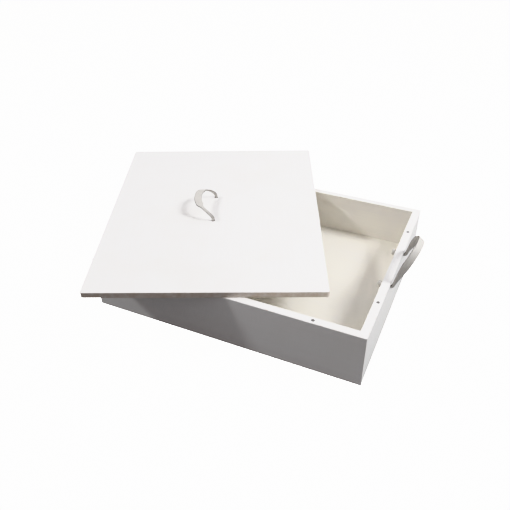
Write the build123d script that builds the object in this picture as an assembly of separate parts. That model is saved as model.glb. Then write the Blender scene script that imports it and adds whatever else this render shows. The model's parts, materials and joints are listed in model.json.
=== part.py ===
from build123d import *

import os
from math import cos, pi, radians, sin

# A shallow hive box of painted boards with a loose flat lid.  A leather strap handle hangs on each
# end wall and one is on the lid.  Millimetres, +Z up.  The origin is the centre of the box's base.
# X runs along the box's long side and Y across it.

# ---------------------------------------------------------------- driving dimensions
# box
box_length = 508.0  # outside, along X
box_width = 399.0  # outside, along Y
box_height = 104.5  # outside, along Z
wall = 14.0  # thickness of the four walls
lap = 7.0  # what is left of the front and back walls over the ends of the side walls
edge_round = 1.2  # rounding of the outer edges of the walls and the lid

# floor
floor_thickness = 12.0
floor_lip = 10.0  # wall left below the floor panel
groove_depth = 6.0  # how far the floor panel runs into the walls
floor_clearance = 0.5  # free room at the end of the groove, all round

# corner pins, which are blind dowels
pin_diameter = 5.0
pin_length = 36.0
pin_cover = 2.0  # wood left between the pin's end and the outer face
pins_per_corner = 3
pin_margin = 15.0  # from the floor panel or the rim to the nearest pin
pin_clearance = 0.05  # radial

# lid
lid_overhang = 6.0  # past the box, all round, when the lid is on
lid_thickness = 10.8
lid_corner_radius = 5.0
lid_turn = -66.2  # degrees about Z, as it lies across the box
lid_offset_x = -121.4
lid_offset_y = 25.9

# magnets in the rim and in the lid's underside
magnet_diameter = 6.0
magnet_depth = 4.0
magnet_corner_distance = 89.0  # from the box's outer corner, along each wall
magnet_clearance = 0.1  # radial
magnet_recess = 0.2  # how far each magnet sits below its face
magnet_sides = ("front", "left", "right")

# strap handles
strap_width = 14.0
strap_thickness = 2.8
tongue_width = 5.6  # the narrow ends that go through the boards
tongue_diameter = 6.4  # the rounded tongue inside its hole
hole_clearance = 0.3  # radial
swivel_radius = 3.2  # the rounded bend of the tongue, which the handle swings on
swivel_gap = 0.3  # between that bend and the board
knot_grip = 2.8  # how far the knot stands out past the tongue, all round
knot_thickness = 9.0
knot_round = 3.0
strap_sections = 28

end_half_span = 50.0  # half the distance between an end handle's two holes
end_drop = 10.0  # from the rim down to those holes
end_rise = 66.0  # from the holes to the top of the loop
end_reach = 27.0  # how far the top of the right loop leans out
end_squareness = 2.2
end_curl = 1.25
end_shoulders = (0.04, 0.24)  # where the strap begins to widen and is at full width, along its length
end_tilts = (35.0, 40.0)  # degrees the strap's width dips outward, at the holes and at the top
left_end_swing = 142.0  # degrees from the right loop's lean down to the left loop's, which hangs

lid_half_span = 44.0
lid_rise = 25.0
lid_reach = 31.0
lid_squareness = 2.7
lid_curl = 1.8
lid_shoulders = (0.23, 0.31)
lid_tilts = (0.0, -5.0)

# ---------------------------------------------------------------- worked-out sizes
half_length = box_length / 2
half_width = box_width / 2
floor_top = floor_lip + floor_thickness
lid_length = box_length + 2 * lid_overhang
lid_width = box_width + 2 * lid_overhang
swivel_offset = swivel_radius + swivel_gap
knot_diameter = tongue_diameter + 2 * knot_grip
lid_place = Pos(lid_offset_x, lid_offset_y, box_height) * Rot(0, 0, lid_turn)


def block(low, high):
    """A box from its lowest corner to its highest."""
    size = [b - a for a, b in zip(low, high)]
    return Pos(*low) * Box(*size, align=(Align.MIN, Align.MIN, Align.MIN))


def rod(radius, start, end):
    """A round rod from one point to another."""
    axis = Vector(*end) - Vector(*start)
    place = Plane(origin=start, z_dir=axis)
    return place * Cylinder(radius, axis.length, align=(Align.CENTER, Align.CENTER, Align.MIN))


def both_ways(distance):
    return (-distance, distance)


def edges_on(edges, axis, place):
    """The edges whose centres lie at one place along an axis, to a hundredth of a millimetre."""
    near = 0.01
    return edges.filter_by_position(axis, place - near, place + near)


# ---------------------------------------------------------------- box
def pin_heights():
    """Evenly spaced heights between the floor panel and the rim."""
    low = floor_top + pin_margin
    high = box_height - pin_margin
    step = (high - low) / (pins_per_corner - 1)
    return [low + step * i for i in range(pins_per_corner)]


def corner_pins(x_side, y_side, radius, extra=0.0):
    """The blind pins of one corner, from the long wall's lap into the end of the side wall."""
    x = x_side * (half_length - wall / 2)
    outer = y_side * (half_width - pin_cover)
    inner = y_side * (half_width - pin_cover - pin_length - extra)
    return [rod(radius, (x, outer, z), (x, inner, z)) for z in pin_heights()]


def rim_magnet_places(side):
    """The two magnet places on one wall: front, left or right.  The back wall has none."""
    along_x = half_length - magnet_corner_distance
    along_y = half_width - magnet_corner_distance
    inset_x = half_length - wall / 2
    inset_y = half_width - wall / 2
    if side == "front":
        return [(x, -inset_y) for x in both_ways(along_x)]
    if side == "left":
        return [(-inset_x, y) for y in both_ways(along_y)]
    return [(inset_x, y) for y in both_ways(along_y)]


def floor_space(clearance):
    """The floor panel's space, less a clearance at its edges."""
    reach_x = half_length - wall + groove_depth - clearance
    reach_y = half_width - wall + groove_depth - clearance
    return block((-reach_x, -reach_y, floor_lip), (reach_x, reach_y, floor_top))


def rim_pockets(side):
    radius = magnet_diameter / 2 + magnet_clearance
    bottom = box_height - magnet_depth - magnet_recess
    return [rod(radius, (x, y, bottom), (x, y, box_height)) for x, y in rim_magnet_places(side)]


def long_wall(y_side):
    """The front wall (y_side -1) or the back wall (1), with a rabbet at each end."""
    outer = y_side * half_width
    inner = y_side * (half_width - wall)
    low_y, high_y = sorted((outer, inner))
    board = block((-half_length, low_y, 0), (half_length, high_y, box_height))
    board = fillet(edges_on(board.edges(), Axis.Y, outer), edge_round)
    lap_y = y_side * (half_width - lap)
    rabbet_low, rabbet_high = sorted((lap_y, inner))
    for x_side in (-1, 1):
        low_x, high_x = sorted((x_side * half_length, x_side * (half_length - wall)))
        board -= block((low_x, rabbet_low, 0), (high_x, rabbet_high, box_height))
    board -= floor_space(0)
    for x_side in (-1, 1):
        for hole in corner_pins(x_side, y_side, pin_diameter / 2 + pin_clearance):
            board -= hole
    if y_side < 0:
        for pocket in rim_pockets("front"):
            board -= pocket
    return board


def side_wall(x_side):
    """The left wall (x_side -1) or the right wall (1), between the long walls' laps."""
    outer = x_side * half_length
    inner = x_side * (half_length - wall)
    low_x, high_x = sorted((outer, inner))
    reach = half_width - lap
    board = block((low_x, -reach, 0), (high_x, reach, box_height))
    board = fillet(edges_on(board.edges().filter_by(Axis.Y), Axis.X, outer), edge_round)
    board -= floor_space(0)
    for y_side in (-1, 1):
        for hole in corner_pins(x_side, y_side, pin_diameter / 2 + pin_clearance, pin_clearance):
            board -= hole
    for pocket in rim_pockets("left" if x_side < 0 else "right"):
        board -= pocket
    z = box_height - end_drop
    for y in both_ways(end_half_span):
        board -= rod(tongue_diameter / 2 + hole_clearance, (inner, y, z), (outer, y, z))
    return board


def rim_magnets(side):
    top = box_height - magnet_recess
    places = rim_magnet_places(side)
    return [rod(magnet_diameter / 2, (x, y, top - magnet_depth), (x, y, top)) for x, y in places]


# ---------------------------------------------------------------- strap handles
def strap_path(half_span, rise, reach, squareness, curl, turn):
    """A point of the strap's middle line: turn is -90 at one hole, 0 at the top and 90 at the other."""
    power = 2 / squareness
    across = abs(sin(turn)) ** power * (1 if turn > 0 else -1)
    height = max(cos(turn), 0.0) ** power
    return Vector(half_span * across, reach * height**curl, rise * height)


def strap_loop(half_span, rise, reach, squareness, curl, shoulders, tilts):
    """A strap that stands on two swivels: its span along X, its lean towards +Y, its height along Z.

    Flat sections follow the path, narrow at the tongues and full width between the shoulders.
    """
    turns = [radians(-90 + 180 * i / strap_sections) for i in range(strap_sections + 1)]
    points = [strap_path(half_span, rise, reach, squareness, curl, turn) for turn in turns]
    steps = [(b - a).length for a, b in zip(points, points[1:])]
    total = sum(steps)
    sections = []
    travelled = 0.0
    for i, point in enumerate(points):
        before = points[max(i - 1, 0)]
        after = points[min(i + 1, strap_sections)]
        tangent = (after - before).normalized()
        share = min(travelled, total - travelled) / total
        ease = min(max((share - shoulders[0]) / (shoulders[1] - shoulders[0]), 0.0), 1.0)
        ease = ease * ease * (3 - 2 * ease)
        width = tongue_width + (strap_width - tongue_width) * ease
        tilt = radians(tilts[0] + (tilts[1] - tilts[0]) * point.Z / rise)
        across = Vector(0, cos(tilt), -sin(tilt))
        across = (across - tangent * across.dot(tangent)).normalized()
        plane = Plane(origin=point, x_dir=across, z_dir=tangent)
        sections.append(plane * Rectangle(width, strap_thickness))
        if i < strap_sections:
            travelled += steps[i]
    strap = loft(sections, ruled=True)
    for x in both_ways(half_span):
        strap += Pos(x, 0, 0) * Sphere(swivel_radius)
    return strap


def knot_and_tongue(board_thickness):
    """One strap end: its tongue through the board along -Z from the board's face, and its knot."""
    tongue = rod(tongue_diameter / 2, (0, 0, 0), (0, 0, -board_thickness))
    knot = Pos(0, 0, -board_thickness - knot_thickness / 2) * Cylinder(knot_diameter / 2, knot_thickness)
    knot = fillet(knot.edges(), knot_round)
    return tongue, knot


# the end handles: built leaning towards +Y, then turned so that they lean along +X or -X
def end_loop():
    return strap_loop(end_half_span, end_rise, end_reach, end_squareness, end_curl, end_shoulders, end_tilts)


def right_place():
    return Pos(half_length + swivel_offset, 0, box_height - end_drop) * Rot(0, 0, -90)


def left_place():
    return Pos(-half_length - swivel_offset, 0, box_height - end_drop) * Rot(0, 0, 90)


def end_tongues(x_side):
    place = Rot(0, 90 * x_side, 0)
    tongues = []
    knots = []
    for y in both_ways(end_half_span):
        spot = Pos(x_side * half_length, y, box_height - end_drop) * place
        tongue, knot = knot_and_tongue(wall)
        tongues.append(spot * tongue)
        knots.append(spot * knot)
    return tongues, knots


# ---------------------------------------------------------------- lid, flat on Z = 0 before it is placed
def lid_board():
    corner = RectangleRounded(lid_length, lid_width, lid_corner_radius)
    board = extrude(corner, lid_thickness)
    top = board.faces().sort_by(Axis.Z)[-1]
    board = fillet(top.edges(), edge_round)
    for x in both_ways(lid_half_span):
        board -= rod(tongue_diameter / 2 + hole_clearance, (x, 0, 0), (x, 0, lid_thickness))
    radius = magnet_diameter / 2 + magnet_clearance
    for side in magnet_sides:
        for x, y in rim_magnet_places(side):
            board -= rod(radius, (x, y, 0), (x, y, magnet_depth + magnet_recess))
    return board


def lid_magnets(side):
    places = rim_magnet_places(side)
    top = magnet_recess + magnet_depth
    return [rod(magnet_diameter / 2, (x, y, magnet_recess), (x, y, top)) for x, y in places]


def lid_tongues():
    tongues = []
    knots = []
    for x in both_ways(lid_half_span):
        tongue, knot = knot_and_tongue(lid_thickness)
        tongues.append(Pos(x, 0, lid_thickness) * tongue)
        knots.append(Pos(x, 0, lid_thickness) * knot)
    return tongues, knots


# ---------------------------------------------------------------- nodes
def one_node(name, solids, place=None):
    """Write one node from one solid or a group of separate solids."""
    group = solids if isinstance(solids, list) else [solids]
    if place is not None:
        group = [place * solid for solid in group]
    shape = group[0] if len(group) == 1 else Compound(children=list(group))
    export_step(shape, f"parts/{name}.step")


os.makedirs("parts", exist_ok=True)

one_node("front_wall", long_wall(-1))
one_node("back_wall", long_wall(1))
one_node("left_wall", side_wall(-1))
one_node("right_wall", side_wall(1))
one_node("floor_panel", floor_space(floor_clearance))

for side_x, word_x in ((-1, "left"), (1, "right")):
    for side_y, word_y in ((-1, "front"), (1, "back")):
        one_node(f"corner_pins_{word_y}_{word_x}", corner_pins(side_x, side_y, pin_diameter / 2))

for word in magnet_sides:
    one_node(f"rim_magnets_{word}", rim_magnets(word))
    one_node(f"lid_magnets_{word}", lid_magnets(word), lid_place)

one_node("lid_panel", lid_board(), lid_place)

# the lid's loop leans to the lid's front
lid_loop = strap_loop(lid_half_span, lid_rise, lid_reach, lid_squareness, lid_curl, lid_shoulders, lid_tilts)
one_node("lid_handle_strap", Pos(0, 0, lid_thickness + swivel_offset) * Rot(0, 0, 180) * lid_loop, lid_place)
tongue_pair, knot_pair = lid_tongues()
one_node("lid_handle_tongues", tongue_pair, lid_place)
one_node("lid_handle_knots", knot_pair, lid_place)

one_node("right_handle_strap", end_loop(), right_place())
one_node("left_handle_strap", end_loop(), left_place() * Rot(-left_end_swing, 0, 0))
for side_x, word_x in ((-1, "left"), (1, "right")):
    tongue_pair, knot_pair = end_tongues(side_x)
    one_node(f"{word_x}_handle_tongues", tongue_pair)
    one_node(f"{word_x}_handle_knots", knot_pair)
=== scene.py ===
"""A shallow hive box in worn white paint, with its loose lid, leather strap handles and magnets.

The sizes and colours are in property groups, each group of like pieces has an operator, and a panel
in the 3D view's sidebar lists them all.  Metres, +Z up, with the origin at the centre of the box's base.
"""

import json
from math import acos, atan2, cos, pi, radians, sin

import bmesh
import bpy
from bpy.props import FloatProperty, FloatVectorProperty, IntProperty, PointerProperty
from bpy.types import NodeSocket, Operator, Panel, PropertyGroup
from mathutils import Matrix, Vector


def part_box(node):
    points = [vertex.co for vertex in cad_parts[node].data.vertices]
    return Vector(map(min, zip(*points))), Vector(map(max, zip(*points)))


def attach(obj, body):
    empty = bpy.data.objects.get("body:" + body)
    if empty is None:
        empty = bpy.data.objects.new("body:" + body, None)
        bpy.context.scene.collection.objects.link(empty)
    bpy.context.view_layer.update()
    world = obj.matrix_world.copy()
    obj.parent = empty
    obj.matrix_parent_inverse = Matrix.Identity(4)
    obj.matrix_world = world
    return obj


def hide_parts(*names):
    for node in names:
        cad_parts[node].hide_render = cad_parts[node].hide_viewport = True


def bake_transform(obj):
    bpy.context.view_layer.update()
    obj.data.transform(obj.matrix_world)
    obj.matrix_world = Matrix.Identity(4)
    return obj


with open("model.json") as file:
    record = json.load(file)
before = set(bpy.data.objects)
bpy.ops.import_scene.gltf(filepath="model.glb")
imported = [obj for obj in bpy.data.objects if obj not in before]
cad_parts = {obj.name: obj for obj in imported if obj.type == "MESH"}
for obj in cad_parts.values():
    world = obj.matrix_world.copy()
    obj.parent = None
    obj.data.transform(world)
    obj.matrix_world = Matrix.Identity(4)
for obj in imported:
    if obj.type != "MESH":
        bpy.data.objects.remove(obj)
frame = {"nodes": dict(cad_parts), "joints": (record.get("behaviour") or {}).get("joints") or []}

bl_info = {
    "name": "Hive Box With Strap Handles",
    "version": (1, 0, 0),
    "blender": (4, 5, 0),
    "location": "3D View > Sidebar > Hive Box",
    "description": "Paints the boards of a shallow hive box and makes its straps, knots and magnets",
    "category": "Object",
}

MM = 0.001

JOINTS = {joint["name"]: joint for joint in frame["joints"]}
NODES = frame["nodes"]
LID_TURN = atan2(JOINTS["lid_handle_swing"]["axis"][1], JOINTS["lid_handle_swing"]["axis"][0])
RIM_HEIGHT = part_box("right_wall")[1].z
LID_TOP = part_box("lid_panel")[1].z
WALL_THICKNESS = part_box("right_wall")[1].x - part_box("right_wall")[0].x
LID_THICKNESS = LID_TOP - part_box("lid_panel")[0].z
END_SWIVEL_OFFSET = JOINTS["right_handle_swing"]["pos_m"][0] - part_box("right_wall")[1].x
LID_SWIVEL_OFFSET = JOINTS["lid_handle_swing"]["pos_m"][2] - LID_TOP

TONGUE_TAIL = 1 * MM  # how far a strap's end goes past its board, into the knot
STRAP_SLACK = 2 * MM  # how far a piece may stand past the CAD nodes that it stands for
KNOT_SLACK = 0.6 * MM
MAGNET_SLACK = 0.1 * MM
WELD_DISTANCE = 0.001 * MM
KNOT_SIDES = 14  # facets round a knot's strand
DISH_SHARE = 0.82  # a magnet's dish, as a share of the face inside its chamfer
DISH_FLOOR_SHARE = 0.70  # the bottom of the dish, as a share of the dish


# ---------------------------------------------------------------- property helpers
def length(name, description, default):
    return FloatProperty(
        name=name, description=description, default=default, min=0, unit="LENGTH", precision=5
    )


def angle(name, description, default):
    return FloatProperty(name=name, description=description, default=radians(default), subtype="ANGLE")


def share(name, description, default):
    return FloatProperty(
        name=name, description=description, default=default, min=0, max=1, subtype="FACTOR"
    )


def number(name, description, default):
    return FloatProperty(name=name, description=description, default=default, min=0)


def power(name, description, default):
    return FloatProperty(name=name, description=description, default=default, min=0, unit="POWER")


def colour(name, description, default):
    return FloatVectorProperty(
        name=name, description=description, default=default, min=0, max=1, size=3, subtype="COLOR"
    )


# ---------------------------------------------------------------- sizes and colours
class HivePaint(PropertyGroup):
    """The painted boards and the bare pins."""

    paint: colour("Paint", "Satin paint on the walls, the floor and the lid", (0.87, 0.86, 0.84))
    aged: colour("Aged paint", "The paint's tone where it has yellowed in patches", (0.83, 0.81, 0.775))
    # Inside tone: creamier paint, made lighter and warmer as painted bounce light in the hollow.
    inside: colour("Inside paint", "Creamier paint on the faces round the hollow", (0.92, 0.885, 0.80))
    wood: colour("Worn wood", "Wood that shows where an edge is rubbed through", (0.50, 0.40, 0.29))
    # A darker, browner tone on the lid's upright sides, mottled by the grain.
    lid_side_tone: colour("Lid edge", "Thin paint over the lid's sawn edge", (0.60, 0.52, 0.45))
    pin_wood: colour("Pin wood", "Beech of the corner pins", (0.63, 0.47, 0.30))
    wear_width: length("Wear width", "How far rubbing reaches in from a board's edges", 1.6 * MM)
    wear: share("Wear", "How much of the edges is rubbed", 0.45)
    brush_depth: length("Brush depth", "Height of the brush marks in the paint", 0.05 * MM)
    grain_depth: length("Grain depth", "Height of the wood grain under the paint", 0.12 * MM)
    roughness: share("Roughness", "Roughness of the paint", 0.46)


class HiveLeather(PropertyGroup):
    """The leather of the straps and the section that they all have."""

    face: colour("Face", "Smooth side of the leather", (0.63, 0.615, 0.58))
    # Crease tone: handling dirt and crease marks, and painted shade in the hollows of the pebbled grain.
    crease_dirt_and_shade: colour("Crease", "Leather in the bottom of its grain and creases", (0.47, 0.44, 0.40))
    # Cut edge tone: burnished leather edges, darkened further as painted shade on the strap's thin sides.
    cut_edge_shade: colour("Cut edge", "The strap's cut sides", (0.15, 0.13, 0.115))
    width: length("Width", "Full width of a strap", 14 * MM)
    thickness: length("Thickness", "Thickness of a strap", 2.8 * MM)
    tongue_width: length("Tongue width", "Width of the narrow ends", 5.6 * MM)
    tongue_thickness: length("Tongue thickness", "Thickness of the ends, rolled for their holes", 4.4 * MM)
    crown: length("Crown", "How far the strap's faces bulge in the middle", 0.25 * MM)
    edge_radius: length("Edge radius", "Rounding of the strap's long edges", 0.8 * MM)
    grain_size: length("Grain size", "Spacing of the pebbles in the leather's face", 1.1 * MM)
    strand: length("Knot strand", "Radius of the rolled strand that ties a knot", 2.1 * MM)
    knot_depth: length("Knot depth", "How far a knot stands out behind its board", 9 * MM)
    knot_radius: length("Knot radius", "Radius of a knot", 6 * MM)
    knot_turns: number("Knot turns", "Turns that the strand takes round itself", 1.9)


class HiveEndStraps(PropertyGroup):
    """The loop of the strap on each end wall."""

    half_span: length("Half span", "Half the distance between the two holes", 50 * MM)
    rise: length("Rise", "From the holes to the top of the loop", 66 * MM)
    reach: length("Reach", "How far the top of the loop leans out", 27 * MM)
    squareness: number("Squareness", "2 is an ellipse, and more is squarer", 2.2)
    curl: number("Curl", "1 leans evenly, and more leans mostly at the top", 1.25)
    narrow_until: share("Narrow until", "Share of the length where the strap begins to widen", 0.04)
    wide_from: share("Wide from", "Share of the length where it has its full width", 0.24)
    foot_tilt: angle("Foot tilt", "Dip of the strap's width at the holes", 35)
    top_tilt: angle("Top tilt", "Dip of the strap's width at the top", 40)
    left_hang: angle("Left hang", "Swing of the left loop down to where it hangs", 142)


class HiveLidStrap(PropertyGroup):
    """The loop of the strap on the lid."""

    half_span: length("Half span", "Half the distance between the two holes", 44 * MM)
    rise: length("Rise", "From the swivel to the top of the loop", 25 * MM)
    reach: length("Reach", "How far the top of the loop leans over", 31 * MM)
    squareness: number("Squareness", "2 is an ellipse, and more is squarer", 2.7)
    curl: number("Curl", "1 leans evenly, and more leans mostly at the top", 1.8)
    narrow_until: share("Narrow until", "Share of the length where the strap begins to widen", 0.23)
    wide_from: share("Wide from", "Share of the length where it has its full width", 0.31)
    foot_tilt: angle("Foot tilt", "Dip of the strap's width at the holes", 0)
    top_tilt: angle("Top tilt", "Dip of the strap's width at the top", -5)


class HiveMagnets(PropertyGroup):
    """The small magnets in the rim and in the lid's underside."""

    metal: colour("Metal", "Dulled nickel plating", (0.30, 0.29, 0.28))
    tarnish: colour("Tarnish", "Spots where the plating has gone dark", (0.10, 0.09, 0.085))
    chamfer: length("Chamfer", "Bevel round a magnet's rim", 0.35 * MM)
    dish: length("Dish", "Depth of the shallow dish in its face", 0.12 * MM)
    sides: IntProperty(name="Sides", description="Facets round a magnet", default=32, min=8, max=96)


class HiveStage(PropertyGroup):
    """The floor, the lights and the camera."""

    floor: colour("Floor", "Pale paper floor", (0.96, 0.96, 0.955))
    light_tint: colour("Light tint", "Tint of the lights", (0.96, 0.98, 1.0))
    fill_tint: colour("Fill tint", "Tint of the fill", (1.0, 0.955, 0.985))
    floor_glow: number("Floor glow", "Even light on the floor that lifts its shadows", 4.5)
    sky_glow: number("Sky glow", "Even light of the white wall behind the floor", 5.4)
    floor_bounce: share("Floor bounce", "How much light the floor throws back on the box", 0.10)
    fill: share("Fill", "Dim light from all round", 0.41)
    right_azimuth: angle("Right light azimuth", "Direction to the right light, from +X towards +Y", 17)
    right_elevation: angle("Right light elevation", "Its height over the floor", 45)
    right_power: power("Right light", "Power of the right light", 28)
    right_size: length("Right light size", "Side of the right light", 0.50)
    right_distance: length("Right light distance", "From the box to the right light", 2.0)
    left_azimuth: angle("Left light azimuth", "Direction to the left light", -160)
    left_elevation: angle("Left light elevation", "Its height over the floor", 40)
    left_power: power("Left light", "Power of the left light", 28)
    left_size: length("Left light size", "Side of the left light", 0.22)
    left_distance: length("Left light distance", "From the box to the left light", 2.5)
    side_azimuth: angle("Side card azimuth", "Direction to the low card on the right", 15)
    side_elevation: angle("Side card elevation", "Its height over the floor", 8)
    side_power: power("Side card", "Power of the low card on the right", 12)
    side_size: length("Side card size", "Side of the card", 0.8)
    side_distance: length("Side card distance", "From the box to the card", 2.0)
    top_power: power("Overhead light", "Power of the overhead light", 5)
    top_size: length("Overhead light size", "Side of the overhead light", 1.2)
    top_height: length("Overhead light height", "From the floor to the overhead light", 1.25)
    top_back: length("Overhead light back", "How far behind the box the overhead light hangs", 1.0)
    view_azimuth: angle("View azimuth", "From the front towards the right, to the camera", 25.022)
    view_elevation: angle("View elevation", "How far the camera looks down", 36.34)
    view_roll: angle("View roll", "How far the camera leans", -0.998)
    view_distance: length("View distance", "From the camera to what it looks at", 1.12721)
    view_lens: number("Lens", "Focal length in millimetres on a 36 mm sensor", 40.47)
    view_aim: FloatVectorProperty(
        name="Aim", description="The point that the camera looks at", default=(-0.02032, -0.00449, 0.05),
        size=3, subtype="TRANSLATION", unit="LENGTH",
    )


GROUPS = {
    "hive_paint": HivePaint,
    "hive_leather": HiveLeather,
    "hive_end_straps": HiveEndStraps,
    "hive_lid_strap": HiveLidStrap,
    "hive_magnets": HiveMagnets,
    "hive_stage": HiveStage,
}


# ---------------------------------------------------------------- shader nodes
def node(tree, kind, inputs=None, **settings):
    """A new node with its settings and its inputs, each a value or another node's output."""
    made = tree.nodes.new(kind)
    for key, value in settings.items():
        setattr(made, key, value)
    for key, value in (inputs or {}).items():
        if isinstance(value, NodeSocket):
            tree.links.new(value, made.inputs[key])
        else:
            made.inputs[key].default_value = value
    return made


def maths(tree, operation, *values):
    return node(tree, "ShaderNodeMath", dict(enumerate(values)), operation=operation).outputs[0]


def vector_maths(tree, operation, *values):
    return node(tree, "ShaderNodeVectorMath", dict(enumerate(values)), operation=operation).outputs[0]


def ramp(tree, value, start, end, low=0.0, high=1.0):
    """A smooth step from low to high as value goes from start to end."""
    inputs = {"Value": value, "From Min": start, "From Max": end, "To Min": low, "To Max": high}
    return node(tree, "ShaderNodeMapRange", inputs, interpolation_type="SMOOTHSTEP").outputs[0]


def noise(tree, where, scale, detail=3.0, roughness=0.5):
    inputs = {"Vector": where, "Scale": scale, "Detail": detail, "Roughness": roughness}
    return node(tree, "ShaderNodeTexNoise", inputs).outputs["Fac"]


def mixed(tree, factor, first, second):
    """Two colours mixed: factor 0 is the first."""
    made = node(tree, "ShaderNodeMix", data_type="RGBA")
    for socket, value in zip((made.inputs[0], made.inputs[6], made.inputs[7]), (factor, first, second)):
        if isinstance(value, NodeSocket):
            tree.links.new(value, socket)
        elif isinstance(value, float):
            socket.default_value = value
        else:
            socket.default_value = (*value, 1.0)
    return made.outputs[2]


def bumped(tree, height, distance, normal=None):
    inputs = {"Height": height, "Distance": distance, "Strength": 1.0}
    if normal is not None:
        inputs["Normal"] = normal
    return node(tree, "ShaderNodeBump", inputs).outputs[0]


def new_material(name, diffuse):
    """A material with one Principled shader, and the tree and the shader."""
    material = bpy.data.materials.new(name)
    material.use_nodes = True
    material.diffuse_color = (*diffuse, 1.0)
    tree = material.node_tree
    tree.nodes.clear()
    shader = node(tree, "ShaderNodeBsdfPrincipled")
    node(tree, "ShaderNodeOutputMaterial", {"Surface": shader.outputs[0]})
    return material, tree, shader


def finish_shader(tree, shader, inputs):
    for key, value in inputs.items():
        if isinstance(value, NodeSocket):
            tree.links.new(value, shader.inputs[key])
        else:
            shader.inputs[key].default_value = value


def object_place(tree, centre=(0, 0, 0), turn=0.0):
    """Object coordinates about a centre, turned back about Z."""
    coordinates = node(tree, "ShaderNodeTexCoord").outputs["Object"]
    inputs = {"Vector": coordinates, "Location": tuple(centre), "Rotation": (0, 0, turn)}
    return node(tree, "ShaderNodeMapping", inputs, vector_type="TEXTURE").outputs[0]


# ---------------------------------------------------------------- paint and wood
def board_size(name, turn):
    """A board's centre and half sizes along its own sides, turned about Z."""
    back = Matrix.Rotation(-turn, 3, "Z")
    corners = [back @ vertex.co for vertex in NODES[name].data.vertices]
    low = Vector([min(corner[axis] for corner in corners) for axis in range(3)])
    high = Vector([max(corner[axis] for corner in corners) for axis in range(3)])
    return back.inverted() @ ((low + high) / 2), (high - low) / 2


def edge_closeness(tree, where, half):
    """0 at a board's edges and below 0, in metres, away from them."""
    outside = vector_maths(tree, "SUBTRACT", vector_maths(tree, "ABSOLUTE", where), tuple(half))
    parts = node(tree, "ShaderNodeSeparateXYZ", {0: outside}).outputs
    low = maths(tree, "MINIMUM", parts[0], parts[1])
    high = maths(tree, "MAXIMUM", parts[0], parts[1])
    return maths(tree, "MAXIMUM", low, maths(tree, "MINIMUM", high, parts[2]))


def hollow_bounce_share(tree):
    """1 on the faces round the box's hollow, where the inside tone with its painted bounce light goes, 0 on
    the others.
    """
    into_board = 0.3 * MM
    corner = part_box("right_wall")[1]
    half_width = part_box("back_wall")[1].y
    inner = (corner.x - WALL_THICKNESS + into_board, half_width - WALL_THICKNESS + into_board, 1.0)
    place = vector_maths(tree, "ABSOLUTE", node(tree, "ShaderNodeTexCoord").outputs["Object"])
    past = vector_maths(tree, "SUBTRACT", place, inner)
    beyond = node(tree, "ShaderNodeSeparateXYZ", {0: past}).outputs
    return maths(tree, "LESS_THAN", maths(tree, "MAXIMUM", beyond[0], beyond[1]), 0.0)


def painted_board(name, paint, turn, lid=False):
    """Brushed paint over planed wood, with its grain along the board's longest side."""
    centre, half = board_size(name, turn)
    material, tree, shader = new_material(f"paint_{name}", paint.paint)
    where = object_place(tree, centre, turn)
    long_way = max(range(3), key=lambda axis: half[axis])
    along = [1.0 if axis == long_way else 40.0 for axis in range(3)]
    grain_along = [1.0 if axis == long_way else 16.0 for axis in range(3)]
    brushed = noise(tree, vector_maths(tree, "MULTIPLY", where, tuple(along)), 9.0, 5.0, 0.6)
    grain = noise(tree, vector_maths(tree, "MULTIPLY", where, tuple(grain_along)), 4.0, 6.0, 0.65)
    peel = noise(tree, where, 420.0, 2.0)
    patches = noise(tree, where, 7.0, 4.0, 0.55)
    rubbing = noise(tree, where, 65.0, 5.0, 0.7)

    tone = tuple(paint.paint)
    # Painted bounce light: the faces round the hollow take the lighter, warmer inside tone.
    if not lid:
        tone = mixed(tree, hollow_bounce_share(tree), tone, tuple(paint.inside))
    tone = mixed(tree, ramp(tree, patches, 0.42, 0.75, 0.0, 0.55), tone, tuple(paint.aged))
    tone = mixed(tree, ramp(tree, brushed, 0.35, 0.70, 0.0, 0.22), tone, tuple(paint.aged))
    # The lid's upright sides take the darker, browner side tone, mottled by the grain.
    if lid:
        normal = node(tree, "ShaderNodeTexCoord").outputs["Normal"]
        facing = node(tree, "ShaderNodeSeparateXYZ", {0: normal})
        upright = ramp(tree, maths(tree, "ABSOLUTE", facing.outputs[2]), 0.75, 0.35)
        side_tone_share = maths(tree, "MULTIPLY", upright, ramp(tree, grain, 0.30, 0.70, 0.55, 0.95))
        tone = mixed(tree, side_tone_share, tone, tuple(paint.lid_side_tone))
    closeness = edge_closeness(tree, where, half)
    near_edge = ramp(tree, closeness, -paint.wear_width, 0.0)
    rubbed = maths(tree, "MULTIPLY", near_edge, ramp(tree, rubbing, 0.68 - 0.3 * paint.wear, 0.78))
    tone = mixed(tree, rubbed, tone, tuple(paint.wood))

    normal = bumped(tree, grain, paint.grain_depth)
    normal = bumped(tree, brushed, paint.brush_depth, normal)
    normal = bumped(tree, peel, paint.brush_depth / 3, normal)
    rough = ramp(tree, patches, 0.3, 0.7, paint.roughness - 0.06, paint.roughness + 0.08)
    rough = maths(tree, "ADD", rough, maths(tree, "MULTIPLY", rubbed, 0.25))
    finish_shader(tree, shader, {
        "Base Color": tone, "Roughness": rough, "Normal": normal, "Specular IOR Level": 0.42,
    })
    return material


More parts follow.
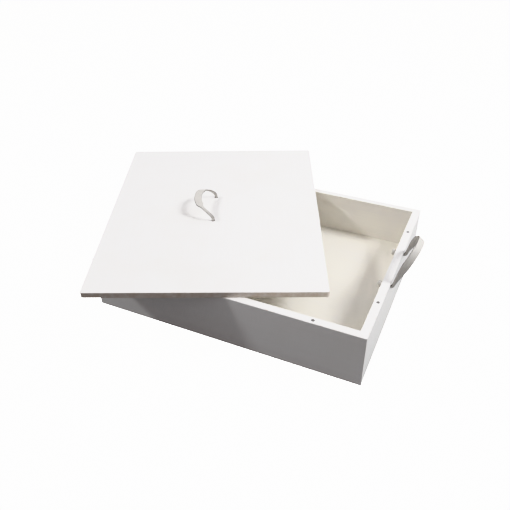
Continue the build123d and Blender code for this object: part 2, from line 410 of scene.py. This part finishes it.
def pin_beech(paint):
    """Bare beech with short fine flecks."""
    material, tree, shader = new_material("pin_beech", paint.pin_wood)
    where = object_place(tree)
    rings = noise(tree, vector_maths(tree, "MULTIPLY", where, (14.0, 1.0, 14.0)), 60.0, 5.0, 0.6)
    flecks = noise(tree, vector_maths(tree, "MULTIPLY", where, (5.0, 1.0, 5.0)), 480.0, 2.0)
    darker = tuple(0.72 * part for part in paint.pin_wood)
    tone = mixed(tree, ramp(tree, rings, 0.35, 0.7), tuple(paint.pin_wood), darker)
    tone = mixed(tree, ramp(tree, flecks, 0.60, 0.72, 0.0, 0.5), tone, darker)
    finish_shader(tree, shader, {
        "Base Color": tone, "Roughness": 0.62, "Normal": bumped(tree, rings, 0.06 * MM),
    })
    return material


def strap_leather(leather):
    """Smooth pebbled leather whose cut edges are darker, partly burnished and partly painted shade, as the
    strap's own attribute says.
    """
    material, tree, shader = new_material("strap_leather", leather.face)
    where = object_place(tree)
    pebbles = node(tree, "ShaderNodeTexVoronoi", {"Vector": where, "Scale": 1.0 / leather.grain_size})
    pebble = pebbles.outputs["Distance"]
    pores = noise(tree, where, 2600.0, 2.0)
    creases = noise(tree, where, 130.0, 6.0, 0.62)
    handled = noise(tree, where, 24.0, 4.0, 0.55)
    cut = node(tree, "ShaderNodeAttribute", attribute_name="cut_edge_shade").outputs["Fac"]
    darkened = ramp(tree, handled, 0.38, 0.72, 0.0, 0.45)
    tone = mixed(tree, darkened, tuple(leather.face), tuple(leather.crease_dirt_and_shade))
    tone = mixed(tree, ramp(tree, creases, 0.60, 0.72, 0.0, 0.35), tone, tuple(leather.crease_dirt_and_shade))
    # Painted shade: the hollows between the grain's pebbles take the darker crease tone.
    tone = mixed(tree, ramp(tree, pebble, 0.30, 0.70, 0.0, 0.45), tone, tuple(leather.crease_dirt_and_shade))
    # Painted shade: the cut sides take the very dark cut edge tone, over their real burnish.
    tone = mixed(tree, maths(tree, "MULTIPLY", cut, 0.85), tone, tuple(leather.cut_edge_shade))
    normal = bumped(tree, pebble, -0.12 * MM)
    normal = bumped(tree, creases, 0.25 * MM, normal)
    normal = bumped(tree, pores, 0.02 * MM, normal)
    rough = ramp(tree, handled, 0.3, 0.7, 0.44, 0.60)
    rough = maths(tree, "ADD", rough, maths(tree, "MULTIPLY", cut, 0.18))
    finish_shader(tree, shader, {
        "Base Color": tone, "Roughness": rough, "Normal": normal, "Specular IOR Level": 0.45,
    })
    return material


def magnet_nickel(magnets):
    """Dull nickel with dark spots and fine scratches."""
    material, tree, shader = new_material("magnet_nickel", magnets.metal)
    where = object_place(tree)
    spots = noise(tree, where, 520.0, 5.0, 0.6)
    scratches = noise(tree, vector_maths(tree, "MULTIPLY", where, (1.0, 12.0, 1.0)), 900.0, 3.0)
    tone = mixed(tree, ramp(tree, spots, 0.45, 0.62), tuple(magnets.metal), tuple(magnets.tarnish))
    finish_shader(tree, shader, {
        "Base Color": tone, "Metallic": 0.9,
        "Roughness": ramp(tree, spots, 0.35, 0.7, 0.34, 0.62), "Normal": bumped(tree, scratches, 0.02 * MM),
    })
    return material


# ---------------------------------------------------------------- meshes
def plain_object(name, mesh):
    piece = bpy.data.objects.new(name, mesh)
    bpy.context.scene.collection.objects.link(piece)
    return piece


def swept_rings(name, rings, cut_share):
    """A closed skin over rings of points, with a UV map in metres and each point's share of cut edge."""
    mesh = bpy.data.meshes.new(name)
    shape = bmesh.new()
    uv_layer = shape.loops.layers.uv.new("strap")
    count = len(rings[0])
    rows = [[shape.verts.new(point) for point in ring] for ring in rings]
    travelled = [0.0]
    for before, after in zip(rings, rings[1:]):
        travelled.append(travelled[-1] + (sum(after, Vector()) - sum(before, Vector())).length / count)
    for i in range(len(rows) - 1):
        for j in range(count):
            k = (j + 1) % count
            face = shape.faces.new((rows[i][j], rows[i][k], rows[i + 1][k], rows[i + 1][j]))
            corners = ((i, j), (i, j + 1), (i + 1, j + 1), (i + 1, j))
            for loop, (row, step) in zip(face.loops, corners):
                loop[uv_layer].uv = (travelled[row], step / count * 4 * leather_width())
    shape.faces.new(list(reversed(rows[0])))
    shape.faces.new(rows[-1])
    bmesh.ops.recalc_face_normals(shape, faces=shape.faces)
    for face in shape.faces:
        face.smooth = True
    shape.to_mesh(mesh)
    shape.free()
    edge = mesh.attributes.new("cut_edge_shade", "FLOAT", "POINT")
    edge.data.foreach_set("value", [value for _ in rings for value in cut_share])
    return mesh


def leather_width():
    return bpy.context.scene.hive_leather.width


def section_points(half_width, half_thick, radius, crown):
    """A rounded rectangle with crowned faces: (across, through) pairs, the same count for any size."""
    corner_steps = 4
    face_steps = 8
    radius = min(radius, half_width * 0.98, half_thick * 0.98)
    points = []
    for quarter, (sx, sy) in enumerate(((1, 1), (-1, 1), (-1, -1), (1, -1))):
        centre = (sx * (half_width - radius), sy * (half_thick - radius))
        for step in range(corner_steps + 1):
            turn = (quarter + step / corner_steps) * pi / 2
            points.append((centre[0] + radius * cos(turn), centre[1] + radius * sin(turn)))
        if quarter in (0, 2):
            end = centre[0] - 2 * sx * (half_width - radius)
            for step in range(1, face_steps):
                part = step / face_steps
                points.append((centre[0] + (end - centre[0]) * part, sy * half_thick))
    bulged = []
    for x, y in points:
        lift = crown * (1 - (x / half_width) ** 2)
        bulged.append((x, y + (lift if y > 0 else -lift)))
    return bulged


def section_cut_share():
    """For each point of section_points: 1 on the cut sides and 0 on the faces."""
    half_width = 8.0
    half_thick = 1.4
    rounding = 0.8
    face_end = half_width - rounding
    flat = section_points(half_width, half_thick, rounding, 0.0)
    return [min(max((abs(x) - face_end) / (0.75 * rounding), 0.0), 1.0) for x, _ in flat]


# ---------------------------------------------------------------- straps, in a loop's own space
# The span is along X, the loop leans towards +Y and stands up along Z, and the swivel is at Z = 0.
def loop_point(loop, turn):
    """The strap's middle line: turn is -90 degrees at one hole, 0 at the top and 90 at the other."""
    shape = 2 / loop.squareness
    across = abs(sin(turn)) ** shape * (1 if turn > 0 else -1)
    height = max(cos(turn), 0.0) ** shape
    return Vector((loop.half_span * across, loop.reach * height**loop.curl, loop.rise * height))


def smooth_step(value, start, end):
    part = min(max((value - start) / (end - start), 0.0), 1.0)
    return part * part * (3 - 2 * part)


def bend_points(start, start_way, end, end_way, steps):
    """A smooth bend between two points, without its ends."""
    pull_share = 0.40
    pull = (end - start).length * pull_share
    first = start + start_way * pull
    second = end - end_way * pull
    points = []
    for step in range(1, steps):
        t = step / steps
        u = 1 - t
        points.append(start * u**3 + first * (3 * u * u * t) + second * (3 * u * t * t) + end * t**3)
    return points


def strap_half(loop, leather, exit_way, offset, board):
    """One half of a strap, from its knot to the top.

    For each ring: its middle, the direction of its width, its width, its thickness and how rolled it is.
    """
    foot_share = 0.10
    loop_steps = 44
    bend_steps = 12
    measure_steps = 60
    unroll_steps = 10  # rings of the loop over which the rolled end flattens out
    low_turn = -acos(foot_share ** (loop.squareness / 2))
    turns = [low_turn * (1 - step / loop_steps) for step in range(loop_steps + 1)]
    points = [loop_point(loop, turn) for turn in turns]
    whole = [loop_point(loop, pi / 2 * (step / measure_steps - 1)) for step in range(measure_steps + 1)]
    half_length = sum((b - a).length for a, b in zip(whole, whole[1:]))
    above_foot = sum((b - a).length for a, b in zip(points, points[1:]))
    foot = Vector((-loop.half_span, 0, 0)) - exit_way * offset
    bend = bend_points(foot, exit_way, points[0], (points[1] - points[0]).normalized(), bend_steps)
    tongue_steps = 6
    into_knot = exit_way * (board + TONGUE_TAIL)
    tongue = [foot - into_knot * (1 - step / tongue_steps) for step in range(tongue_steps)]
    line = tongue + [foot] + bend + points
    straight = len(tongue) + 1
    rings = []
    travelled = half_length - above_foot
    for i, point in enumerate(line):
        before = line[max(i - 1, 0)]
        after = line[i + 1] if i + 1 < len(line) else Vector((-before.x, before.y, before.z))
        way = (after - before).normalized()
        in_loop = i >= straight + len(bend)
        if in_loop:
            tilt = loop.foot_tilt + (loop.top_tilt - loop.foot_tilt) * point.z / loop.rise
            across = Vector((0, cos(tilt), -sin(tilt)))
            across = (across - way * across.dot(way)).normalized()
            ease = smooth_step(travelled / (2 * half_length), loop.narrow_until, loop.wide_from)
            if i + 1 < len(line):
                travelled += (line[i + 1] - point).length
        else:
            across = Vector((0, way.z, -way.y)).normalized()
            ease = 0.0
        rolled = 1 - smooth_step(i, straight, straight + len(bend) + unroll_steps)
        width = leather.tongue_width + (leather.width - leather.tongue_width) * ease
        thick = leather.thickness + (leather.tongue_thickness - leather.thickness) * rolled
        rings.append((point, across, width, thick, rolled))
    return rings


def strap_rings(loop, leather, exit_way, offset, board):
    """All the rings of a strap, from knot to knot."""
    half = strap_half(loop, leather, exit_way, offset, board)
    other = [
        (Vector((-p.x, p.y, p.z)), Vector((-a.x, a.y, a.z)), width, thick, rolled)
        for p, a, width, thick, rolled in reversed(half[:-1])
    ]
    line = half + other
    rings = []
    for i, (point, across, width, thick, rolled) in enumerate(line):
        way = (line[min(i + 1, len(line) - 1)][0] - line[max(i - 1, 0)][0]).normalized()
        across = (across - way * across.dot(way)).normalized()
        through = way.cross(across)
        radius = leather.edge_radius + (thick / 2 - leather.edge_radius) * rolled
        crown = leather.crown * (1 - rolled)
        section = section_points(width / 2, thick / 2 - crown, radius, crown)
        rings.append([point + across * x + through * y for x, y in section])
    return rings


def hang(points, swing, offset):
    """Swings a standing end loop about its swivel, bending it from the board's face outwards."""
    bent = []
    reach = Vector((0, offset, offset))
    start = Vector((0, -offset, 0))
    for point in points:
        part = (Vector((0, point.y, point.z)) - start).dot(reach) / reach.length_squared
        share_of_swing = smooth_step(part, 0.0, 1.0)
        bent.append(Matrix.Rotation(-swing * share_of_swing, 3, "X") @ point)
    return bent


def check_against(piece, slack, *names):
    """Stops if a piece has grown past the CAD nodes that it stands for."""
    low = Vector([min(vertex.co[axis] for vertex in piece.data.vertices) for axis in range(3)])
    high = Vector([max(vertex.co[axis] for vertex in piece.data.vertices) for axis in range(3)])
    boxes = [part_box(name) for name in names]
    for axis in range(3):
        least = min(box[0][axis] for box in boxes) - slack
        most = max(box[1][axis] for box in boxes) + slack
        if low[axis] < least or high[axis] > most:
            raise RuntimeError(f"{piece.name} leaves its CAD nodes along axis {axis}")


# ---------------------------------------------------------------- geometry nodes
def new_tree(name, sizes):
    """A geometry node tree with a geometry input, the named sizes and a material."""
    tree = bpy.data.node_groups.new(name, "GeometryNodeTree")
    tree.interface.new_socket("Geometry", in_out="INPUT", socket_type="NodeSocketGeometry")
    for label in sizes:
        kind = "NodeSocketInt" if label == "Sides" else "NodeSocketFloat"
        tree.interface.new_socket(label, in_out="INPUT", socket_type=kind)
    tree.interface.new_socket("Material", in_out="INPUT", socket_type="NodeSocketMaterial")
    tree.interface.new_socket("Geometry", in_out="OUTPUT", socket_type="NodeSocketGeometry")
    return tree, node(tree, "NodeGroupInput").outputs


def end_tree(tree, geometry, given):
    """Realize Instances, Set Material and the output."""
    real = node(tree, "GeometryNodeRealizeInstances", {0: geometry}).outputs[0]
    finished = node(tree, "GeometryNodeSetMaterial", {"Geometry": real, "Material": given["Material"]})
    node(tree, "NodeGroupOutput", {0: finished.outputs[0]})


def knot_tree():
    """A round strand along each knot's path."""
    tree, given = new_tree("knot_strands", ("Strand radius", "Sides"))
    ring = node(tree, "GeometryNodeCurvePrimitiveCircle", {
        "Resolution": given["Sides"], "Radius": given["Strand radius"],
    })
    tube = node(tree, "GeometryNodeCurveToMesh", {
        "Curve": given["Geometry"], "Profile Curve": ring.outputs[0], "Fill Caps": True,
    })
    smooth = node(tree, "GeometryNodeSetShadeSmooth", {"Geometry": tube.outputs[0], "Shade Smooth": True})
    end_tree(tree, smooth.outputs[0], given)
    return tree


def magnet_tree():
    """A chamfered disc with a dished face on each point, which is the middle of the magnet's back."""
    tree, given = new_tree("magnet_discs", ("Radius", "Height", "Chamfer", "Dish", "Sides"))

    def grow(shape, height, scale):
        """Draws the top face up and scales it."""
        drawn = node(tree, "GeometryNodeExtrudeMesh", {
            "Mesh": shape[0], "Selection": shape[1], "Offset": (0.0, 0.0, 1.0), "Offset Scale": height,
            "Individual": False,
        })
        scaled = node(tree, "GeometryNodeScaleElements", {
            "Geometry": drawn.outputs["Mesh"], "Selection": drawn.outputs["Top"], "Scale": scale,
        })
        return scaled.outputs[0], drawn.outputs["Top"]

    disc = node(tree, "GeometryNodeMeshCircle", {
        "Vertices": given["Sides"], "Radius": given["Radius"],
    }, fill_type="NGON").outputs[0]
    back = node(tree, "GeometryNodeFlipFaces", {"Mesh": disc}).outputs[0]
    side_height = maths(tree, "SUBTRACT", given["Height"], given["Chamfer"])
    chamfer_scale = maths(tree, "SUBTRACT", 1.0, maths(tree, "DIVIDE", given["Chamfer"], given["Radius"]))
    shape = (disc, True)
    for height, scale in (
        (side_height, 1.0),
        (given["Chamfer"], chamfer_scale),
        (0.0, DISH_SHARE),
        (maths(tree, "MULTIPLY", given["Dish"], -1.0), DISH_FLOOR_SHARE),
    ):
        shape = grow(shape, height, scale)
    joined = node(tree, "GeometryNodeJoinGeometry")
    tree.links.new(back, joined.inputs[0])
    tree.links.new(shape[0], joined.inputs[0])
    closed = node(tree, "GeometryNodeMergeByDistance", {
        "Geometry": joined.outputs[0], "Distance": WELD_DISTANCE,
    })
    placed = node(tree, "GeometryNodeInstanceOnPoints", {
        "Points": given["Geometry"], "Instance": closed.outputs[0],
    })
    end_tree(tree, placed.outputs[0], given)
    return tree


def nodes_to_mesh(name, source, tree, values):
    """Runs a tree on an object and keeps the result as a plain mesh in a new object."""
    modifier = source.modifiers.new("nodes", "NODES")
    modifier.node_group = tree
    for item in tree.interface.items_tree:
        if item.in_out == "INPUT" and item.name in values:
            modifier[item.identifier] = values[item.name]
    bpy.context.view_layer.update()
    graph = bpy.context.evaluated_depsgraph_get()
    mesh = bpy.data.meshes.new_from_object(source.evaluated_get(graph))
    mesh.name = name
    source.modifiers.remove(modifier)
    bpy.data.objects.remove(source)
    if not mesh.polygons:
        raise RuntimeError(f"{name} came out empty")
    return plain_object(name, mesh)


# ---------------------------------------------------------------- knots
def knot_path(leather):
    """A strand that comes along -Z through its board, turns back and winds round itself."""
    clearance = 0.1 * MM
    end_clearance = 0.2 * MM
    inside_board = 2 * MM
    past_board = 1 * MM
    straight_share = 0.55  # of the way down, where the strand begins to turn back
    turn_depth = 0.92
    turn_out = 0.35
    coil_steps = 34
    ring = leather.knot_radius - leather.strand - clearance
    low = -(leather.knot_depth - leather.strand - end_clearance)
    high = -leather.strand - clearance
    points = [Vector((0, 0, height)) for height in (inside_board, -past_board, low * straight_share)]
    points.append(Vector((ring * turn_out, 0, low * turn_depth)))
    for step in range(coil_steps + 1):
        part = step / coil_steps
        turn = 2 * pi * leather.knot_turns * part
        radius = ring * smooth_step(part, -0.30, 0.16)
        points.append(Vector((radius * cos(turn), radius * sin(turn), low + (high - low) * part)))
    return points


def knot_curve(name, places, leather):
    """One open spline for each knot."""
    curve = bpy.data.curves.new(name, "CURVE")
    curve.dimensions = "3D"
    path = knot_path(leather)
    for place in places:
        spline = curve.splines.new("NURBS")
        spline.points.add(len(path) - 1)
        for target, point in zip(spline.points, path):
            target.co = (*(place @ point), 1.0)
        spline.order_u = 3
        spline.use_endpoint_u = True
        spline.resolution_u = 3
    return plain_object(name, curve)


def separate_places(name):
    """The middle and the half size of each of a node's two like solids."""
    low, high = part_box(name)
    centre = (low + high) / 2
    corners = [vertex.co for vertex in NODES[name].data.vertices]
    far = max(corners, key=lambda co: (co - centre).length)
    way = (far - centre).normalized()
    places = []
    for side in (1, -1):
        group = [co for co in corners if (co - centre).dot(way) * side > 0]
        least = Vector([min(co[axis] for co in group) for axis in range(3)])
        most = Vector([max(co[axis] for co in group) for axis in range(3)])
        places.append(((least + most) / 2, (most - least) / 2))
    return places


# ---------------------------------------------------------------- operators
def paint_node(name, material):
    slots = NODES[name].data.materials
    slots.clear()
    slots.append(material)


class HIVE_OT_boards(Operator):
    """Paint the walls, the floor and the lid, and give the pins bare beech"""

    bl_idname = "hive.boards"
    bl_label = "Painted boards"

    def execute(self, context):
        paint = context.scene.hive_paint
        for name in ("front_wall", "back_wall", "left_wall", "right_wall", "floor_panel"):
            paint_node(name, painted_board(name, paint, 0.0))
        paint_node("lid_panel", painted_board("lid_panel", paint, LID_TURN, lid=True))
        beech = pin_beech(paint)
        for name in NODES:
            if name.startswith("corner_pins"):
                paint_node(name, beech)
        return {"FINISHED"}


def leather_material(context):
    return bpy.data.materials.get("strap_leather") or strap_leather(context.scene.hive_leather)


def strap_piece(context, name, rings):
    piece = plain_object(name, swept_rings(name, rings, section_cut_share()))
    piece.data.materials.append(leather_material(context))
    return piece


class HIVE_OT_end_straps(Operator):
    """Make the strap of each end wall, whose rolled ends go through the wall"""

    bl_idname = "hive.end_straps"
    bl_label = "End straps"

    def execute(self, context):
        scene = context.scene
        loop = scene.hive_end_straps
        out = Vector((0, 1, 0))
        rings = strap_rings(loop, scene.hive_leather, out, END_SWIVEL_OFFSET, WALL_THICKNESS)
        for side, turn, swing in (("right", -90, 0.0), ("left", 90, loop.left_hang)):
            joint = JOINTS[f"{side}_handle_swing"]
            place = Matrix.Translation(joint["pos_m"]) @ Matrix.Rotation(radians(turn), 4, "Z")
            hung = [hang(ring, swing, END_SWIVEL_OFFSET) for ring in rings]
            placed = [[place @ point for point in ring] for ring in hung]
            piece = strap_piece(context, f"{side}_strap", placed)
            nodes = (f"{side}_handle_strap", f"{side}_handle_tongues")
            check_against(piece, STRAP_SLACK, *nodes, f"{side}_handle_knots")
            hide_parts(*nodes)
            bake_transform(piece)
        return {"FINISHED"}


class HIVE_OT_lid_strap(Operator):
    """Make the strap of the lid, whose rolled ends go down through the lid"""

    bl_idname = "hive.lid_strap"
    bl_label = "Lid strap"

    def execute(self, context):
        scene = context.scene
        up = Vector((0, 0, 1))
        loop = scene.hive_lid_strap
        rings = strap_rings(loop, scene.hive_leather, up, LID_SWIVEL_OFFSET, LID_THICKNESS)
        joint = JOINTS["lid_handle_swing"]
        place = Matrix.Translation(joint["pos_m"]) @ Matrix.Rotation(LID_TURN + pi, 4, "Z")
        piece = strap_piece(context, "lid_strap", [[place @ point for point in ring] for ring in rings])
        nodes = ("lid_handle_strap", "lid_handle_tongues")
        check_against(piece, STRAP_SLACK, *nodes, "lid_handle_knots")
        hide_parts(*nodes)
        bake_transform(piece)
        return {"FINISHED"}


class HIVE_OT_knots(Operator):
    """Tie a knot in each strap end behind its board"""

    bl_idname = "hive.knots"
    bl_label = "Strap knots"

    def execute(self, context):
        leather = context.scene.hive_leather
        tree = knot_tree()
        values = {"Strand radius": leather.strand, "Sides": KNOT_SIDES, "Material": leather_material(context)}
        for side, body, turn in (("right", "box", 90), ("left", "box", -90), ("lid", "lid", 0)):
            node_name = f"{side}_handle_knots"
            places = []
            for centre, half in separate_places(node_name):
                if side == "lid":
                    face = Vector((centre.x, centre.y, centre.z + half.z))
                else:
                    towards_board = half.x if side == "right" else -half.x
                    face = Vector((centre.x + towards_board, centre.y, centre.z))
                places.append(Matrix.Translation(face) @ Matrix.Rotation(radians(turn), 4, "Y"))
            curve = knot_curve(f"{side}_knot_path", places, leather)
            piece = nodes_to_mesh(f"{side}_knots", curve, tree, values)
            check_against(piece, KNOT_SLACK, node_name, f"{side}_handle_tongues")
            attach(piece, body)
            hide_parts(node_name)
        return {"FINISHED"}


class HIVE_OT_magnets(Operator):
    """Set a nickel magnet in each pocket of the rim and of the lid"""

    bl_idname = "hive.magnets"
    bl_label = "Magnets"

    def execute(self, context):
        magnets = context.scene.hive_magnets
        tree = magnet_tree()
        nickel = magnet_nickel(magnets)
        for group, body in (("rim", "box"), ("lid", "lid")):
            nodes = sorted(name for name in NODES if name.startswith(f"{group}_magnets"))
            spots = [spot for name in nodes for spot in separate_places(name)]
            half = spots[0][1]
            facing_up = group == "rim"
            points = [centre - Vector((0, 0, half.z)) for centre, _ in spots]
            mesh = bpy.data.meshes.new(f"{group}_magnet_points")
            mesh.from_pydata(points, [], [])
            values = {
                "Radius": half.x, "Height": 2 * half.z, "Chamfer": magnets.chamfer, "Dish": magnets.dish,
                "Sides": magnets.sides, "Material": nickel,
            }
            piece = nodes_to_mesh(f"{group}_magnets", plain_object(mesh.name, mesh), tree, values)
            if not facing_up:
                middle = 2 * spots[0][0].z
                for vertex in piece.data.vertices:
                    vertex.co.z = middle - vertex.co.z
                piece.data.flip_normals()
            check_against(piece, MAGNET_SLACK, *nodes)
            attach(piece, body)
            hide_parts(*nodes)
        return {"FINISHED"}


# ---------------------------------------------------------------- stage
def floor_material(stage):
    """White paper that looks evenly lit, but throws little light back."""
    material = bpy.data.materials.new("floor_paper")
    material.use_nodes = True
    tree = material.node_tree
    tree.nodes.clear()
    seen = node(tree, "ShaderNodeLightPath").outputs["Is Camera Ray"]
    paper = node(tree, "ShaderNodeBsdfDiffuse", {"Color": (*stage.floor, 1.0)}).outputs[0]
    lit = {"Color": (*stage.floor, 1.0), "Strength": stage.floor_glow}
    glow = node(tree, "ShaderNodeEmission", lit).outputs[0]
    bright = node(tree, "ShaderNodeAddShader", {0: paper, 1: glow}).outputs[0]
    dim_colour = tuple(stage.floor_bounce * part for part in stage.floor)
    dim = node(tree, "ShaderNodeBsdfDiffuse", {"Color": (*dim_colour, 1.0)}).outputs[0]
    both = node(tree, "ShaderNodeMixShader", {0: seen, 1: dim, 2: bright}).outputs[0]
    node(tree, "ShaderNodeOutputMaterial", {"Surface": both})
    return material


def direction(azimuth, elevation):
    return Vector((cos(azimuth) * cos(elevation), sin(azimuth) * cos(elevation), sin(elevation)))


def area_light(name, place, aim, size, energy, tint):
    data = bpy.data.lights.new(name, "AREA")
    data.color = tint
    data.shape = "SQUARE"
    data.size = size
    data.energy = energy
    light = bpy.data.objects.new(name, data)
    bpy.context.scene.collection.objects.link(light)
    light.location = place
    light.rotation_euler = (aim - place).to_track_quat("-Z", "Y").to_euler()
    return light


class HIVE_OT_stage(Operator):
    """Lay the floor and set up the lights and the camera"""

    bl_idname = "hive.stage"
    bl_label = "Stage"

    def execute(self, context):
        scene = context.scene
        stage = scene.hive_stage
        half_floor = 7.0
        floor_gap = 0.2 * MM
        signs = ((-1, -1), (1, -1), (1, 1), (-1, 1))
        mesh = bpy.data.meshes.new("floor")
        corners = [(x * half_floor, y * half_floor, -floor_gap) for x, y in signs]
        mesh.from_pydata(corners, [], [(0, 1, 2, 3)])
        mesh.materials.append(floor_material(stage))
        plain_object("floor", mesh)

        aim = Vector((0, 0, RIM_HEIGHT))
        right = aim + direction(stage.right_azimuth, stage.right_elevation) * stage.right_distance
        left = aim + direction(stage.left_azimuth, stage.left_elevation) * stage.left_distance
        card = aim + direction(stage.side_azimuth, stage.side_elevation) * stage.side_distance
        over = Vector((0, stage.top_back, stage.top_height))
        area_light("right_light", right, aim, stage.right_size, stage.right_power, stage.light_tint)
        area_light("left_light", left, aim, stage.left_size, stage.left_power, stage.light_tint)
        area_light("side_card", card, aim, stage.side_size, stage.side_power, stage.light_tint)
        area_light("overhead_light", over, aim, stage.top_size, stage.top_power, stage.light_tint)

        world = bpy.data.worlds.new("studio")
        world.use_nodes = True
        tree = world.node_tree
        tree.nodes.clear()
        seen = node(tree, "ShaderNodeLightPath").outputs["Is Camera Ray"]
        tint = (*stage.fill_tint, 1.0)
        dim = node(tree, "ShaderNodeBackground", {"Color": tint, "Strength": stage.fill}).outputs[0]
        wall = {"Color": (*stage.floor, 1.0), "Strength": stage.sky_glow}
        white = node(tree, "ShaderNodeBackground", wall).outputs[0]
        both = node(tree, "ShaderNodeMixShader", {0: seen, 1: dim, 2: white}).outputs[0]
        node(tree, "ShaderNodeOutputWorld", {"Surface": both})
        scene.world = world
        scene.view_settings.view_transform = "Khronos PBR Neutral"

        a = stage.view_azimuth
        e = stage.view_elevation
        back = Vector((sin(a) * cos(e), -cos(a) * cos(e), sin(e)))
        side = Vector((cos(a), sin(a), 0))
        upright = Matrix((side, back.cross(side), back)).transposed()
        turned = upright @ Matrix.Rotation(stage.view_roll, 3, "Z")
        data = bpy.data.cameras.new("camera")
        data.lens = stage.view_lens
        data.clip_start = 0.02
        data.clip_end = 40.0
        camera = bpy.data.objects.new("camera", data)
        scene.collection.objects.link(camera)
        place = Vector(stage.view_aim) + back * stage.view_distance
        camera.matrix_world = Matrix.Translation(place) @ turned.to_4x4()
        scene.camera = camera
        return {"FINISHED"}


OPERATORS = (
    HIVE_OT_boards,
    HIVE_OT_end_straps,
    HIVE_OT_lid_strap,
    HIVE_OT_knots,
    HIVE_OT_magnets,
    HIVE_OT_stage,
)


class HIVE_PT_panel(Panel):
    """The hive box's pieces and their sizes and colours"""

    bl_idname = "HIVE_PT_panel"
    bl_label = "Hive Box"
    bl_space_type = "VIEW_3D"
    bl_region_type = "UI"
    bl_category = "Hive Box"

    def draw(self, context):
        for operator in OPERATORS:
            self.layout.operator(operator.bl_idname)
        for attribute, group in GROUPS.items():
            box = self.layout.box()
            box.label(text=group.__doc__)
            for name in group.__annotations__:
                box.prop(getattr(context.scene, attribute), name)


def register():
    for group in GROUPS.values():
        bpy.utils.register_class(group)
    for attribute, group in GROUPS.items():
        setattr(bpy.types.Scene, attribute, PointerProperty(type=group))
    for operator in OPERATORS:
        bpy.utils.register_class(operator)
    bpy.utils.register_class(HIVE_PT_panel)


def unregister():
    bpy.utils.unregister_class(HIVE_PT_panel)
    for operator in reversed(OPERATORS):
        bpy.utils.unregister_class(operator)
    for attribute, group in reversed(list(GROUPS.items())):
        delattr(bpy.types.Scene, attribute)
        bpy.utils.unregister_class(group)


def main():
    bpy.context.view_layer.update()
    register()
    for operator in OPERATORS:
        family, name = operator.bl_idname.split(".")
        getattr(getattr(bpy.ops, family), name)()


if __name__ == "__main__":
    main()
